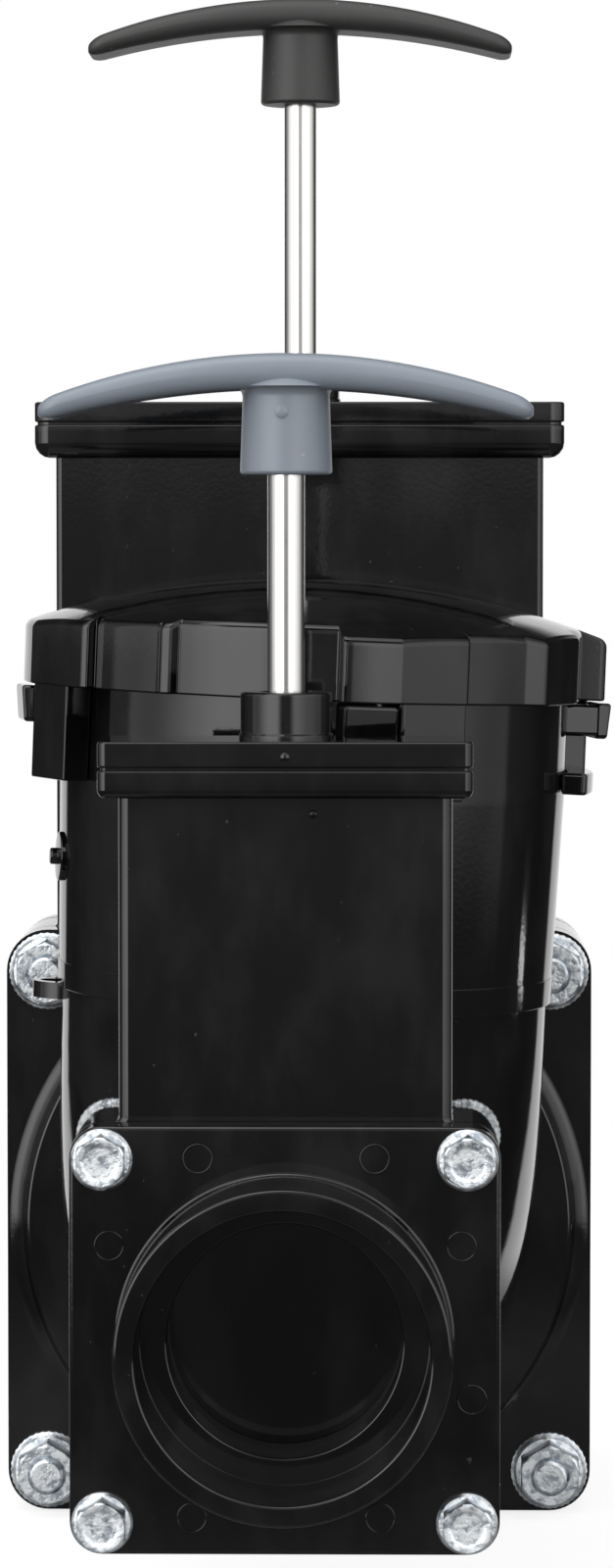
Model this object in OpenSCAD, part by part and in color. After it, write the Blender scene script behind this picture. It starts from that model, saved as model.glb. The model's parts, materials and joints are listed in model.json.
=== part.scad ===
// Waste valve for a recreational vehicle: a small and a large gate valve bolted to one
// moulded elbow, with a bayonet outlet and its twist cap.
// Sizes are in millimetres. Y runs along the pipes, from the small valve to the large one.
// Z points up, and the origin is the centre of the large pipe socket's mouth.

/* [Pipes] */
// Outside diameter of the small pipe
front_pipe_d = 48.3; // [46:0.1:50]
// Outside diameter of the large pipe
rear_pipe_d = 88.9; // [86:0.1:91]
// Radial clearance of a pipe in its socket
pipe_gap = 0.1; // [0.05:0.05:0.3]
// Depth of the small pipe socket
front_socket_len = 18; // [12:1:22]
// Depth of the large pipe socket
rear_socket_len = 28; // [18:1:34]
// Wall of the small hub
front_hub_wall = 3.6; // [2.5:0.1:4.5]
// Wall of the large hub
rear_hub_wall = 5; // [3:0.1:6]
// Chamfer where a hub meets its plate
hub_foot = 2; // [1:0.5:4]
// Passage through the small valve
front_bore_d = 39.4; // [35:0.2:40]
// Passage through the large valve
rear_bore_d = 76; // [70:0.5:77]

/* [Small front valve] */
// Side of the square plates
front_side = 72; // [70:0.5:76]
// Distance between bolt centres
front_pitch = 61; // [60:0.5:63]
// Thickness of the hub plate
front_plate_t = 7; // [5:0.5:9]
// Thickness of the valve body
front_body_t = 18; // [17:0.5:20]
// Width of the bonnet
front_bonnet_w = 56; // [54:0.5:57]
// Height of the bonnet above the pipe axis, up to its cap
front_bonnet_h = 90.4; // [88:0.2:98]
// Overhang of the bonnet cap round the bonnet
front_cap_lip = 3.4; // [2:0.2:4]
// Radius of the bonnet cap's lower corners
front_cap_r = 1.4; // [0.5:0.1:3]
// Height of the bonnet cap's lower tier
front_cap_lower_h = 4.9; // [4.5:0.1:7]
// Height of the bonnet cap's upper tier
front_cap_upper_h = 4.6; // [3:0.1:7]
// Length of bare rod between the gland and the handle
front_rod_show = 36.5; // [20:0.5:60]
// Thickness of the gate blade
front_blade_t = 4; // [3:0.5:5]

/* [Large rear valve] */
// Side of the square plates
rear_side = 114; // [112:0.5:120]
// Distance between bolt centres
rear_pitch = 98; // [97:0.5:102]
// Thickness of the hub plate
rear_plate_t = 8; // [6:0.5:10]
// Thickness of the valve body
rear_body_t = 22; // [20:0.5:26]
// Width of the bonnet
rear_bonnet_w = 95.4; // [93:0.2:98]
// Height of the bonnet above the pipe axis, up to its cap
rear_bonnet_h = 148.8; // [147:0.2:160]
// Overhang of the bonnet cap round the bonnet
rear_cap_lip = 4.05; // [2:0.05:5]
// Radius of the bonnet cap's lower corners
rear_cap_r = 3; // [0.5:0.1:4]
// Height of the bonnet cap's lower tier
rear_cap_lower_h = 6.7; // [4.5:0.1:8]
// Height of the bonnet cap's upper tier
rear_cap_upper_h = 4.2; // [3:0.1:7]
// Length of bare rod between the gland and the handle
rear_rod_show = 50.5; // [30:0.5:80]
// Thickness of the gate blade
rear_blade_t = 5; // [3:0.5:6]

/* [Gates and rods] */
// Rod diameter
rod_d = 6.35; // [5:0.05:7]
// Radial running clearance of a rod in its gland
rod_gap = 0.06; // [0.03:0.01:0.1]
// How far the blade reaches past the passage all round
blade_margin = 3.5; // [2.5:0.1:4]
// Clearance of a blade against its slot and its seals
blade_gap = 0.4; // [0.3:0.05:0.6]
// Width of the rubber seal ring round the passage
seal_w = 2.6; // [1.5:0.1:3]
// Diameter of the gland on a bonnet cap
gland_d = 16; // [12:0.5:18]
// Height of the gland
gland_h = 8; // [5:0.5:12]
// Diameter of the boss that carries the rod on a blade
boss_d = 10; // [9:0.2:10.5]
// Height of that boss above the blade
boss_h = 10; // [6:0.5:12]

/* [Handles] */
// Length of the handle bar
handle_span = 83; // [70:1:95]
// Width of the handle bar from front to back
handle_depth = 16; // [16:0.5:20]
// Thickness of the bar at its middle
handle_t = 5.9; // [5:0.1:8]
// Thickness of the bar at its ends
handle_end_t = 3.5; // [2.5:0.1:4.5]
// How far the top of the bar falls from its middle to its ends
handle_drop = 8; // [6:0.5:12]
// Diameter of the handle hub at its foot
handle_hub_d = 15.6; // [12:0.2:15.8]
// Diameter of the handle hub under the bar
handle_neck_d = 14.6; // [10:0.2:15]
// Height of the hub below the bar
handle_hub_h = 14.4; // [12:0.2:20]

/* [Elbow and outlet] */
// Outside diameter of the elbow
elbow_d = 89; // [86:0.5:90]
// Wall of the elbow
elbow_wall = 5; // [4:0.5:6]
// Bend radius of the elbow's centre line
bend_r = 54; // [52:0.5:60]
// Lean of the elbow's outlet to the right, about the pipe axis
outlet_lean = 2.2; // [-10:0.1:10]
// Thickness of the elbow's two flanges
flange_t = 8; // [6:0.5:10]
// Distance from the outlet axis to the back of the small flange
inlet_len = 55; // [53:0.5:65]
// Wall of the small inlet pipe on the elbow
inlet_wall = 4.5; // [3:0.5:6]
// Radius of the round collar on the large flange
collar_r = 53; // [50:0.5:55]
// Depth of that collar in front of the flange
collar_h = 5; // [2:0.5:8]
// Drop of the tether eyelet below the elbow's upper end
eyelet_drop = 3.5; // [1:0.5:10]
// Outside diameter of the tether eyelet
eyelet_d = 11; // [8:0.5:14]
// Thickness of the tether eyelet
eyelet_t = 3; // [2:0.5:3.5]
// Outside diameter of the outlet tube at its lugs
outlet_d = 92.5; // [91:0.5:94]
// How far the outlet tube's foot stands out of the elbow
outlet_foot_rise = 0.75; // [0.5:0.05:1]
// Wall of the outlet tube
outlet_wall = 4; // [3:0.5:5]
// Height of the outlet rim above the pipe axis
outlet_rim_z = 111; // [109:0.5:120]
// Length of the spigot that enters the elbow
spigot_len = 8; // [5:0.5:10]
// Wall of that spigot
spigot_wall = 2.2; // [1.8:0.1:2.4]

/* [Bayonet lugs] */
// Direction of the front lug, turned from straight ahead to the right
lug_turn = 11; // [0:1:20]
// Width of a lug
lug_w = 8.6; // [7:0.2:10]
// Height of a lug
lug_h = 6.6; // [5:0.2:7]
// Radius of a lug's edges
lug_corner = 1.2; // [0.5:0.1:2]
// Radius at a lug's end
lug_r = 54.2; // [52:0.1:56]
// Drop of a lug's centre below the outlet rim
lug_drop = 9.2; // [8:0.2:12]
// Height of the round button on the tube above the pipe axis
button_z = 74; // [70:0.5:85]
// Diameter of that button
button_d = 9; // [6:0.5:12]

/* [Twist cap] */
// Radial clearance of the cap on the outlet tube
cap_gap = 0.5; // [0.4:0.1:1]
// Wall of the cap's skirt
cap_wall = 1.6; // [1.2:0.1:3]
// Radius at the ridge of a hook's two faces
hook_r = 53.6; // [52:0.1:54]
// How far a hook's face falls back at its trailing end
hook_fall = 1.6; // [0:0.1:2]
// Clearance between a lug and its hook
hook_gap = 0.4; // [0.3:0.1:0.8]
// Angle of a hook beyond its lug
hook_angle = 15; // [10:1:20]
// Angle from the hook to the end of the thicker panel beside it
panel_angle = 28; // [15:1:30]
// How far that panel stands out of the skirt
panel_rise = 2.2; // [0.5:0.1:3]
// Angle of the grip rib next to the hook
rib_angle = 7; // [4:1:14]
// How far the grip rib stands out of the skirt
rib_rise = 3.4; // [0.5:0.1:4]
// Height of the lip under a lug
lip_h = 4.2; // [3:0.2:6]
// Room under a lug, above the lip
lip_room = 5.6; // [1:0.2:6]
// Angle of the lip ahead of its lug
lip_lead = 26; // [15:1:30]
// How far the lip stands back from the hook's trailing end
lip_inset = 0.6; // [0.2:0.1:1]
// Thickness of the rubber gasket under the cap
gasket_t = 3; // [2:0.5:4]
// Thickness of the cap's top
cap_top_t = 3; // [2:0.5:4]
// Height of the cap's edge above its gasket
cap_edge_h = 4.1; // [3:0.1:5]
// Height of the dome
dome_h = 7.6; // [6:0.2:14]

/* [Bolts] */
// Diameter of the small valve's bolts
front_bolt_d = 4.8; // [4:0.1:5]
// Diameter of the large valve's bolts
rear_bolt_d = 6.35; // [5:0.05:6.5]
// Diameter of the flange on the small valve's nuts
front_nut_flange_d = 12.7; // [11:0.1:14]
// Diameter of the flange on the large valve's nuts
rear_nut_flange_d = 15; // [14:0.1:16]
// Radial clearance of a bolt in its hole
bolt_gap = 0.2; // [0.1:0.05:0.3]
// Bolt end that stands out of its nut
bolt_end = 1.5; // [0.5:0.5:4]

/* [Hidden] */
$fn = 96;

black_plastic = [0.09, 0.09, 0.1];
dark_plastic = [0.2, 0.2, 0.21];
grey_plastic = [0.42, 0.46, 0.5];
rubber = [0.05, 0.05, 0.05];
steel = [0.78, 0.78, 0.77];
zinc = [0.72, 0.76, 0.8];

// A cut runs this far past the face it opens
over = 1;
// Clearance of pieces that are glued or pushed together
joint_gap = 0.05;
// Running gap between flat faces that turn on each other
turn_gap = 0.3;

front_socket_d = front_pipe_d + 2 * pipe_gap;
rear_socket_d = rear_pipe_d + 2 * pipe_gap;

// Stations along Y, worked out from the large socket's mouth
rear_y = -rear_socket_len - rear_plate_t - rear_body_t / 2;
elbow_back_y = rear_y - rear_body_t / 2;
elbow_face_y = elbow_back_y - flange_t;
outlet_y = elbow_face_y - bend_r;
inlet_back_y = outlet_y - inlet_len;
inlet_face_y = inlet_back_y - flange_t;
front_y = inlet_face_y - front_body_t / 2;

// Bolt patterns and plate corners
front_corner_r = (front_side - front_pitch) / 2;
rear_corner_r = (rear_side - rear_pitch) / 2;

// Hardware sizes follow the bolt diameter
function washer_d(bolt_d) = 2.15 * bolt_d;
function head_af(bolt_d) = 1.66 * bolt_d;
function head_h(bolt_d) = 0.85 * bolt_d;
function nut_af(bolt_d) = 1.75 * bolt_d;
function nut_h(bolt_d) = 0.95 * bolt_d;
washer_t = 1.2;

// Corner places, counted clockwise from the upper left as seen from the front
corner_signs = [[-1, 1], [1, 1], [1, -1], [-1, -1]];

// Radius of an arc with the given half chord and rise
function arc_r(half, rise) = (half * half + rise * rise) / (2 * rise);

// Heights that follow from the gates
bonnet_seat = 4;
blade_rise = 4;
rod_sink = 8;
function blade_w(bore_d) = bore_d + 2 * blade_margin;
function blade_top(bore_d) = blade_w(bore_d) / 2 + blade_rise;
function slot_w(bore_d) = blade_w(bore_d) + 2 * blade_gap;
cavity_t = boss_d + 2 * blade_gap;

front_cap_top = front_bonnet_h + front_cap_lower_h + front_cap_upper_h;
rear_cap_top = rear_bonnet_h + rear_cap_lower_h + rear_cap_upper_h;
front_handle_z = front_cap_top + gland_h + front_rod_show;
rear_handle_z = rear_cap_top + gland_h + rear_rod_show;

// Outlet and cap heights
elbow_in_r = elbow_d / 2 - elbow_wall;
spigot_r = elbow_in_r + spigot_wall;
outlet_r = outlet_d / 2;
outlet_foot_r = elbow_d / 2 + outlet_foot_rise;
lug_z = outlet_rim_z - lug_drop;
cap_in_r = outlet_r + cap_gap;
skirt_r = cap_in_r + cap_wall;
skirt_z = lug_z + lug_h / 2 + hook_gap;
gasket_z = outlet_rim_z + turn_gap;
cap_floor_z = gasket_z + gasket_t;
cap_rim_z = cap_floor_z + cap_edge_h;
dome_r = arc_r(skirt_r, dome_h);
dome_z = cap_rim_z + dome_h - dome_r;
lip_top_z = lug_z - lug_h / 2 - lip_room;
hook_z = lip_top_z - lip_h;
// Height from which the outlet tube is straight, just under the hooks
straight_z = hook_z - hook_gap;
lip_r = hook_r - hook_fall - lip_inset;
// Half the angle that a lug takes up, with its clearance, at the tube's surface
lug_half = asin((lug_w / 2 + hook_gap) / outlet_r);
hook_end = lug_half + hook_angle;
hook_mid = lug_half + hook_angle / 2;
lug_head_t = 2;
lug_head_rise = 0.4;

// A round bar along Y
module y_round(d, y0, y1) {
    translate([0, y0, 0]) rotate([-90, 0, 0]) cylinder(d = d, h = y1 - y0);
}

// A slab along Y whose outline stands in the XZ plane
module slab(y0, t) {
    translate([0, y0 + t, 0]) rotate([90, 0, 0]) linear_extrude(t) children();
}

module rounded_square(side, r) {
    square([side - 2 * r, side], center = true);
    square([side, side - 2 * r], center = true);
    for (s = corner_signs) translate(s * (side / 2 - r)) circle(r);
}

module bolt_holes(pitch, bolt_d) {
    for (s = corner_signs) translate(s * pitch / 2) circle(d = bolt_d + 2 * bolt_gap);
}

module drilled_plate(side, pitch, bolt_d, corner_r) {
    difference() {
        rounded_square(side, corner_r);
        bolt_holes(pitch, bolt_d);
    }
}

// Places a valve's pieces: outward is the side of its pipe socket
module at_front() { translate([0, front_y, 0]) rotate([0, 0, 180]) children(); }
module at_rear() { translate([0, rear_y, 0]) children(); }

module hub_flange(side, pitch, bolt_d, corner_r, plate_t, body_t, bore_d, socket_d, socket_len, hub_wall) {
    plate_y = body_t / 2 + plate_t;
    hub_r = socket_d / 2 + hub_wall;
    difference() {
        union() {
            slab(body_t / 2, plate_t) drilled_plate(side, pitch, bolt_d, corner_r);
            y_round(2 * hub_r, body_t / 2, plate_y + socket_len);
            translate([0, plate_y, 0]) rotate([-90, 0, 0])
                cylinder(r1 = hub_r + hub_foot, r2 = hub_r, h = hub_foot);
        }
        y_round(bore_d, body_t / 2 - over, plate_y + over);
        y_round(socket_d, plate_y, plate_y + socket_len + over);
    }
}

module blade_outline(w, top) {
    circle(d = w);
    translate([-w / 2, 0]) square([w, top]);
}

module valve_body(side, pitch, bolt_d, corner_r, body_t, bonnet_w, bonnet_h, bore_d, blade_t) {
    bonnet_top = bonnet_h + bonnet_seat;
    cavity_z = blade_top(bore_d) - 2 * over;
    difference() {
        slab(-body_t / 2, body_t) difference() {
            union() {
                rounded_square(side, corner_r);
                translate([-bonnet_w / 2, 0]) square([bonnet_w, bonnet_top]);
            }
            bolt_holes(pitch, bolt_d);
        }
        y_round(bore_d + 2 * (seal_w + joint_gap), -body_t / 2 - over, body_t / 2 + over);
        slab(-blade_t / 2 - blade_gap, blade_t + 2 * blade_gap)
            blade_outline(slot_w(bore_d), bonnet_top + over);
        slab(-cavity_t / 2, cavity_t) translate([-slot_w(bore_d) / 2, cavity_z])
            square([slot_w(bore_d), bonnet_top + over - cavity_z]);
    }
}

module bonnet_cap(bonnet_w, body_t, bonnet_h, lip, corner_r, lower_h, upper_h) {
    w = bonnet_w + 2 * lip;
    t = body_t + 2 * lip;
    top = bonnet_h + lower_h + upper_h;
    difference() {
        union() {
            slab(-t / 2, t) {
                translate([-w / 2 + corner_r, bonnet_h]) square([w - 2 * corner_r, lower_h + over]);
                translate([-w / 2, bonnet_h + corner_r]) square([w, lower_h + over - corner_r]);
                for (side = [-1, 1])
                    translate([side * (w / 2 - corner_r), bonnet_h + corner_r]) circle(corner_r);
            }
            translate([-w / 2, -t / 2, bonnet_h + lower_h]) cube([w, t, upper_h]);
        }
        translate([-bonnet_w / 2 - joint_gap, -body_t / 2 - joint_gap, bonnet_h - over])
            cube([bonnet_w + 2 * joint_gap, body_t + 2 * joint_gap, bonnet_seat + over]);
        translate([0, 0, bonnet_h]) cylinder(d = rod_d + 2 * blade_gap, h = top - bonnet_h + over);
    }
}

module gland(cap_top) {
    translate([0, 0, cap_top]) difference() {
        cylinder(d = gland_d, h = gland_h);
        translate([0, 0, -over]) cylinder(d = rod_d + 2 * rod_gap, h = gland_h + 2 * over);
    }
}

module seal(bore_d, body_t, blade_t) {
    y0 = blade_t / 2 + blade_gap;
    difference() {
        y_round(bore_d + 2 * seal_w, y0, body_t / 2);
        y_round(bore_d, y0 - over, body_t / 2 + over);
    }
}

module blade(bore_d, blade_t) {
    top = blade_top(bore_d);
    difference() {
        union() {
            slab(-blade_t / 2, blade_t) blade_outline(blade_w(bore_d), top);
            translate([0, 0, top - over]) cylinder(d = boss_d, h = boss_h + over);
        }
        translate([0, 0, top + boss_h - rod_sink])
            cylinder(d = rod_d + 2 * joint_gap, h = rod_sink + over);
    }
}

module rod(bore_d, handle_z) {
    z0 = blade_top(bore_d) + boss_h - rod_sink;
    translate([0, 0, z0]) cylinder(d = rod_d, h = handle_z + rod_sink - z0);
}

module handle_plan() {
    end_r = handle_depth / 3;
    square([handle_span - 2 * end_r, handle_depth], center = true);
    square([handle_span, handle_depth - 2 * end_r], center = true);
    for (s = corner_signs)
        translate([s[0] * (handle_span / 2 - end_r), s[1] * (handle_depth / 2 - end_r)]) circle(end_r);
}

module handle(handle_z) {
    bar_z = handle_z + handle_hub_h;
    top_r = arc_r(handle_span / 2, handle_drop);
    under_r = arc_r(handle_span / 2, handle_drop + handle_end_t - handle_t);
    difference() {
        union() {
            translate([0, 0, handle_z])
                cylinder(d1 = handle_hub_d, d2 = handle_neck_d, h = handle_hub_h + handle_t / 2);
            intersection() {
                slab(-handle_depth / 2, handle_depth) difference() {
                    translate([0, bar_z + handle_t - top_r]) circle(top_r);
                    translate([0, bar_z - under_r]) circle(under_r);
                }
                translate([0, 0, handle_z]) linear_extrude(handle_hub_h + handle_t + over) handle_plan();
            }
        }
        translate([0, 0, handle_z - over])
            cylinder(d = rod_d + 2 * joint_gap, h = rod_sink + over);
    }
}

// A hexagon with the given width across its flats
module hexagon(af) { circle(d = af / cos(30), $fn = 6); }

// A washer head outside the hub plate, and its shank through the stack
module bolt(i, pitch, bolt_d, plate_t, body_t) {
    head_y = body_t / 2 + plate_t;
    tail_y = -body_t / 2 - flange_t - washer_t - nut_h(bolt_d) - bolt_end;
    s = corner_signs[i - 1];
    translate([s[0] * pitch / 2, 0, s[1] * pitch / 2]) {
        y_round(bolt_d, tail_y, head_y + washer_t);
        y_round(washer_d(bolt_d), head_y, head_y + washer_t);
        slab(head_y, washer_t + head_h(bolt_d)) rotate(30) hexagon(head_af(bolt_d));
    }
}

// A flange nut behind the elbow's flange
module nut(i, pitch, bolt_d, flange_d, body_t) {
    face_y = -body_t / 2 - flange_t;
    end_y = face_y - washer_t - nut_h(bolt_d);
    s = corner_signs[i - 1];
    translate([s[0] * pitch / 2, 0, s[1] * pitch / 2]) difference() {
        union() {
            y_round(flange_d, face_y - washer_t, face_y);
            slab(end_y, face_y - end_y) rotate(30) hexagon(nut_af(bolt_d));
        }
        y_round(bolt_d + 2 * joint_gap, end_y - over, face_y + over);
    }
}

// Turns the outlet and what it carries about the pipe axis
module leaning() { rotate([0, outlet_lean, 0]) children(); }

// A quarter bend round the line where the flange plane meets the outlet's foot
module bend(r) {
    leaning() translate([0, elbow_face_y, bend_r]) rotate([0, 90, 0]) rotate([0, 0, -90])
        rotate_extrude(angle = 90) translate([bend_r, 0]) circle(r);
}

// A flat ring on the left of the elbow's upper end that holds the cap's tether
module tether_eyelet() {
    leaning() translate([-elbow_d / 2, outlet_y, bend_r - eyelet_drop - eyelet_t]) difference() {
        cylinder(d = eyelet_d, h = eyelet_t);
        translate([-eyelet_d / 8, 0, -over]) cylinder(d = eyelet_d / 2, h = eyelet_t + 2 * over);
    }
}

module outlet_elbow() {
    inlet_d = front_bore_d + 2 * inlet_wall;
    color(black_plastic) difference() {
        union() {
            bend(elbow_d / 2);
            y_round(inlet_d, inlet_back_y - over, outlet_y);
            slab(inlet_face_y, flange_t) drilled_plate(front_side, front_pitch, front_bolt_d, front_corner_r);
            slab(elbow_face_y, flange_t) drilled_plate(rear_side, rear_pitch, rear_bolt_d, rear_corner_r);
            y_round(2 * collar_r, elbow_face_y - collar_h, elbow_face_y);
            tether_eyelet();
        }
        bend(elbow_in_r);
        y_round(front_bore_d, inlet_face_y - over, outlet_y);
        y_round(rear_bore_d, elbow_face_y - over, elbow_back_y + over);
        leaning() translate([0, outlet_y, bend_r - spigot_len])
            cylinder(r = spigot_r + joint_gap, h = spigot_len + over);
    }
}

// A rounded bar that points outwards along X
module lug_pin(w, h, r0, r1) {
    translate([r0, 0, lug_z]) rotate([90, 0, 90]) linear_extrude(r1 - r0) {
        square([w - 2 * lug_corner, h], center = true);
        square([w, h - 2 * lug_corner], center = true);
        for (x = [-1, 1], z = [-1, 1])
            translate([x * (w / 2 - lug_corner), z * (h / 2 - lug_corner)]) circle(lug_corner);
    }
}

module lug() {
    neck_w = lug_w - 2 * lug_head_rise;
    neck_h = lug_h - 2 * lug_head_rise;
    lug_pin(neck_w, neck_h, outlet_r - outlet_wall / 2, lug_r - lug_head_t / 2);
    lug_pin(lug_w, lug_h, lug_r - lug_head_t, lug_r);
}

// A round button with a nub, pointing left
module tube_button() {
    nub_d = button_d / 3;
    nub_l = button_d / 6;
    disc_l = button_d / 12;
    tube_r = outlet_foot_r + (outlet_r - outlet_foot_r) * (button_z - bend_r) / (straight_z - bend_r);
    translate([-tube_r + outlet_wall / 2, 0, button_z]) rotate([0, -90, 0]) {
        cylinder(d = button_d, h = outlet_wall / 2 + disc_l);
        cylinder(d = nub_d, h = outlet_wall / 2 + disc_l + nub_l);
    }
}

module bayonet_outlet() {
    color(black_plastic) leaning() translate([0, outlet_y, 0]) difference() {
        union() {
            translate([0, 0, bend_r - spigot_len]) cylinder(r = spigot_r, h = spigot_len + over);
            translate([0, 0, bend_r])
                cylinder(r1 = outlet_foot_r, r2 = outlet_r, h = straight_z - bend_r);
            translate([0, 0, straight_z]) cylinder(r = outlet_r, h = outlet_rim_z - straight_z);
            for (k = [0:3]) rotate(k * 90 - 90 + lug_turn) lug();
            tube_button();
        }
        translate([0, 0, bend_r - spigot_len - over]) cylinder(r = elbow_in_r, h = spigot_len + 2 * over);
        translate([0, 0, bend_r + over])
            cylinder(d1 = 2 * elbow_in_r, d2 = outlet_d - 2 * outlet_wall, h = straight_z - bend_r - over);
        translate([0, 0, straight_z])
            cylinder(r = outlet_r - outlet_wall, h = outlet_rim_z - straight_z + over);
    }
}

function on_circle(r, a) = r * [cos(a), sin(a)];

// A wedge of a disc between two angles under 90 degrees apart
module wedge(r, a0, a1) {
    mid = (a0 + a1) / 2;
    intersection() {
        circle(r);
        polygon([[0, 0], on_circle(2 * r, a0), on_circle(2 * r, mid), on_circle(2 * r, a1)]);
    }
}

// A hook's outline: two flat faces that meet in a ridge
module hook_outline() {
    ridge = (hook_end - lug_half) / 2;
    polygon([[0, 0], on_circle(hook_r, -lug_half), on_circle(hook_r, ridge),
        on_circle(hook_r - hook_fall, hook_end)]);
}

// The cap's outline: the skirt, and for each lug a hook, a grip rib and a thicker panel
module cap_outline() {
    circle(skirt_r);
    for (k = [0:3]) rotate(k * 90 - 90 + lug_turn) {
        hook_outline();
        wedge(skirt_r + rib_rise, hook_mid, hook_end + rib_angle);
        wedge(skirt_r + panel_rise, hook_mid, hook_end + panel_angle);
    }
}

// What hangs below the skirt at a lug: the arm beside it and the lip under it
module hook() {
    translate([0, 0, hook_z]) linear_extrude(skirt_z - hook_z + over) intersection() {
        hook_outline();
        rotate(lug_half) square(lug_r);
    }
    translate([0, 0, hook_z]) linear_extrude(lip_h) wedge(lip_r, -lip_lead, hook_mid);
}

module bayonet_cap() {
    color(black_plastic) leaning() translate([0, outlet_y, 0]) difference() {
        union() {
            intersection() {
                translate([0, 0, skirt_z]) linear_extrude(cap_rim_z + dome_h - skirt_z) cap_outline();
                translate([0, 0, dome_z]) sphere(dome_r);
            }
            for (k = [0:3]) rotate(k * 90 - 90 + lug_turn) hook();
        }
        translate([0, 0, hook_z - over]) cylinder(r = cap_in_r, h = cap_floor_z - hook_z + over);
        intersection() {
            translate([0, 0, dome_z]) sphere(dome_r - cap_top_t);
            translate([0, 0, cap_floor_z - over])
                cylinder(r = outlet_r - outlet_wall, h = dome_h + cap_top_t);
        }
    }
}

module cap_gasket() {
    color(rubber) leaning() translate([0, outlet_y, gasket_z]) difference() {
        cylinder(r = cap_in_r - joint_gap, h = gasket_t);
        translate([0, 0, -over]) cylinder(r = outlet_r - outlet_wall, h = gasket_t + 2 * over);
    }
}

module front_hub_flange() {
    color(black_plastic) at_front() hub_flange(front_side, front_pitch, front_bolt_d, front_corner_r,
        front_plate_t, front_body_t, front_bore_d, front_socket_d, front_socket_len, front_hub_wall);
}
module front_valve_body() {
    color(black_plastic) at_front() valve_body(front_side, front_pitch, front_bolt_d, front_corner_r,
        front_body_t, front_bonnet_w, front_bonnet_h, front_bore_d, front_blade_t);
}
module front_bonnet_cap() {
    color(black_plastic) at_front() bonnet_cap(front_bonnet_w, front_body_t, front_bonnet_h,
        front_cap_lip, front_cap_r, front_cap_lower_h, front_cap_upper_h);
}
module front_gland() { color(black_plastic) at_front() gland(front_cap_top); }
module front_outer_seal() { color(rubber) at_front() seal(front_bore_d, front_body_t, front_blade_t); }
module front_inner_seal() {
    color(rubber) at_front() mirror([0, 1, 0]) seal(front_bore_d, front_body_t, front_blade_t);
}
module front_blade() { color(black_plastic) at_front() blade(front_bore_d, front_blade_t); }
module front_rod() { color(steel) at_front() rod(front_bore_d, front_handle_z); }
module front_handle() { color(grey_plastic) at_front() handle(front_handle_z); }
module front_bolt(i) {
    color(zinc) at_front() bolt(i, front_pitch, front_bolt_d, front_plate_t, front_body_t);
}
module front_nut(i) {
    color(zinc) at_front() nut(i, front_pitch, front_bolt_d, front_nut_flange_d, front_body_t);
}

module rear_hub_flange() {
    color(black_plastic) at_rear() hub_flange(rear_side, rear_pitch, rear_bolt_d, rear_corner_r,
        rear_plate_t, rear_body_t, rear_bore_d, rear_socket_d, rear_socket_len, rear_hub_wall);
}
module rear_valve_body() {
    color(black_plastic) at_rear() valve_body(rear_side, rear_pitch, rear_bolt_d, rear_corner_r,
        rear_body_t, rear_bonnet_w, rear_bonnet_h, rear_bore_d, rear_blade_t);
}
module rear_bonnet_cap() {
    color(black_plastic) at_rear() bonnet_cap(rear_bonnet_w, rear_body_t, rear_bonnet_h,
        rear_cap_lip, rear_cap_r, rear_cap_lower_h, rear_cap_upper_h);
}
module rear_gland() { color(black_plastic) at_rear() gland(rear_cap_top); }
module rear_outer_seal() { color(rubber) at_rear() seal(rear_bore_d, rear_body_t, rear_blade_t); }
module rear_inner_seal() {
    color(rubber) at_rear() mirror([0, 1, 0]) seal(rear_bore_d, rear_body_t, rear_blade_t);
}
module rear_blade() { color(black_plastic) at_rear() blade(rear_bore_d, rear_blade_t); }
module rear_rod() { color(steel) at_rear() rod(rear_bore_d, rear_handle_z); }
module rear_handle() { color(dark_plastic) at_rear() handle(rear_handle_z); }
module rear_bolt(i) {
    color(zinc) at_rear() bolt(i, rear_pitch, rear_bolt_d, rear_plate_t, rear_body_t);
}
module rear_nut(i) {
    color(zinc) at_rear() nut(i, rear_pitch, rear_bolt_d, rear_nut_flange_d, rear_body_t);
}

outlet_elbow();
bayonet_outlet();
bayonet_cap();
cap_gasket();
front_hub_flange();
front_valve_body();
front_bonnet_cap();
front_gland();
front_outer_seal();
front_inner_seal();
front_blade();
front_rod();
front_handle();
rear_hub_flange();
rear_valve_body();
rear_bonnet_cap();
rear_gland();
rear_outer_seal();
rear_inner_seal();
rear_blade();
rear_rod();
rear_handle();
for (i = [1:4]) front_bolt(i);
for (i = [1:4]) front_nut(i);
for (i = [1:4]) rear_bolt(i);
for (i = [1:4]) rear_nut(i);
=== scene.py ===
"""Waste valve of a recreational vehicle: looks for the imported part, in metres, in the part's own frame."""
import json
import math

import bmesh
import bpy
from mathutils import Matrix, Vector


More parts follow.
